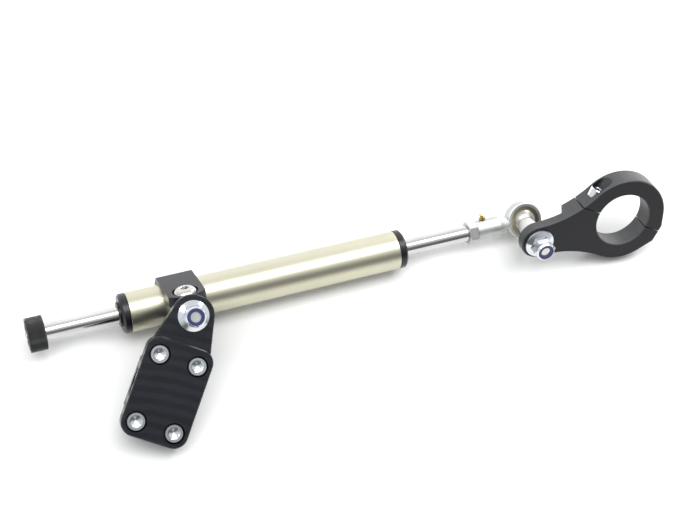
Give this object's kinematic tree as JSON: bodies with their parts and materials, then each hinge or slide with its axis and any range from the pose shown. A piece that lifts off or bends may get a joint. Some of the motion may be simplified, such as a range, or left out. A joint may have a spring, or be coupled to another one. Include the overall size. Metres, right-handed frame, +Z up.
{
  "type": "steering damper",
  "caption": "Tubular steering damper with through rod, adjuster knob, swivelling frame bracket and split stem clamp.",
  "frame": {"origin": "on the table under the middle of the whole damper, as it lies at rest", "axes": "+X along the damper towards the stem clamp, within a degree; -Y towards the bracket and the viewer; +Z up from the table"},
  "size_m": [0.428, 0.1122, 0.0625],
  "materials": {
    "tube": "champagne anodised, satin",
    "black": "black anodised, satin",
    "knob": "black anodised, knurled",
    "chrome": "hard chrome, polished",
    "plain_alloy": "machined",
    "ptfe": "filled PTFE",
    "steel": "machined",
    "zinc": "bright zinc plated",
    "bronze": "bearing bronze",
    "brass": "machined",
    "nylon": "blue nylon",
    "rubber": "nitrile"
  },
  "bodies": {
    "barrel": {"body_tube": "tube", "end_cap_right": "black", "end_cap_left": "black", "cap_oring_right": "rubber", "cap_oring_left": "rubber", "cap_bush_right": "bronze", "cap_bush_left": "bronze", "rod_seal_right": "rubber", "rod_seal_left": "rubber", "clamp_block": "black", "pivot_bolt": "zinc", "pivot_cones": "steel"},
    "mount_ball": {"pivot_ball": "steel"},
    "mount_eye": {"mount_rod_end": "zinc", "mount_race": "bronze", "ear_nut": "zinc", "ear_nut_ring": "nylon"},
    "bracket": {"bracket_front": "black", "bracket_rear": "black", "bracket_screws": "zinc"},
    "wear_ring": {"piston_ring": "ptfe"},
    "rod": {"piston_rod": "chrome", "piston": "plain_alloy", "piston_shims": "steel", "piston_clips": "steel", "jam_nut": "zinc", "stem_rod_end": "zinc", "stem_race": "bronze", "grease_nipple": "brass"},
    "adjuster": {"adjuster_knob": "knob", "knob_screw": "steel", "adjuster_shaft": "steel"},
    "needle": {"metering_needle": "brass"},
    "pin_ball": {"stem_ball": "steel"},
    "stem_clamp": {"stem_cone": "steel", "stem_rear_spacer": "steel", "stem_bolt": "zinc", "stem_washer": "zinc", "stem_nut": "zinc", "stem_nut_ring": "nylon", "stem_arm": "black", "stem_cap": "black", "stem_cap_screws": "zinc"}
  },
  "joints": [
    {"name": "mount_swivel", "type": "hinge", "parent": "barrel", "child": "mount_ball", "pos_m": [-0.11651, 0.02026, 0.03152], "axis": [0.0078, 0.6309, 0.7758], "range_deg": [-24, 24]},
    {"name": "mount_tilt", "type": "hinge", "parent": "mount_ball", "child": "mount_eye", "pos_m": [-0.11651, 0.02026, 0.03152], "axis": [-0.9989, 0.0402, -0.0226], "range_deg": [-34, 1.5]},
    {"name": "bracket_turn", "type": "hinge", "parent": "mount_eye", "child": "bracket", "pos_m": [-0.11717, 0.01142, 0.0452], "axis": [-0.0408, -0.5419, 0.8395], "range_deg": [-15, 15]},
    {"name": "rod_slide", "type": "slide", "parent": "barrel", "child": "wear_ring", "axis": [0.9999, 0.0004, -0.0104], "range_m": [-0.044, 0.044]},
    {"name": "rod_turn", "type": "hinge", "parent": "wear_ring", "child": "rod", "pos_m": [-0.06047, 0.03808, 0.01646], "axis": [0.9999, 0.0004, -0.0104], "continuous": true},
    {"name": "knob_turn", "type": "hinge", "parent": "rod", "child": "adjuster", "pos_m": [-0.20216, 0.03803, 0.01793], "axis": [0.9999, 0.0004, -0.0104], "range_deg": [-360, 540]},
    {"name": "needle_travel", "type": "slide", "parent": "adjuster", "child": "needle", "axis": [0.9999, 0.0004, -0.0104], "range_m": [-0.0008, 0.0012]},
    {"name": "stem_tilt", "type": "hinge", "parent": "rod", "child": "pin_ball", "pos_m": [0.12286, 0.03815, 0.01455], "axis": [0.9741, -0.16, -0.1598], "range_deg": [-42, 1]},
    {"name": "stem_pivot", "type": "hinge", "parent": "pin_ball", "child": "stem_clamp", "pos_m": [0.12286, 0.03815, 0.01455], "axis": [-0.075, -0.8953, 0.439], "range_deg": [-75, 75]}
  ],
  "couplings": [
    {"joint": "needle_travel", "follows": "knob_turn", "m_per_rad": 0.00012732}
  ]
}
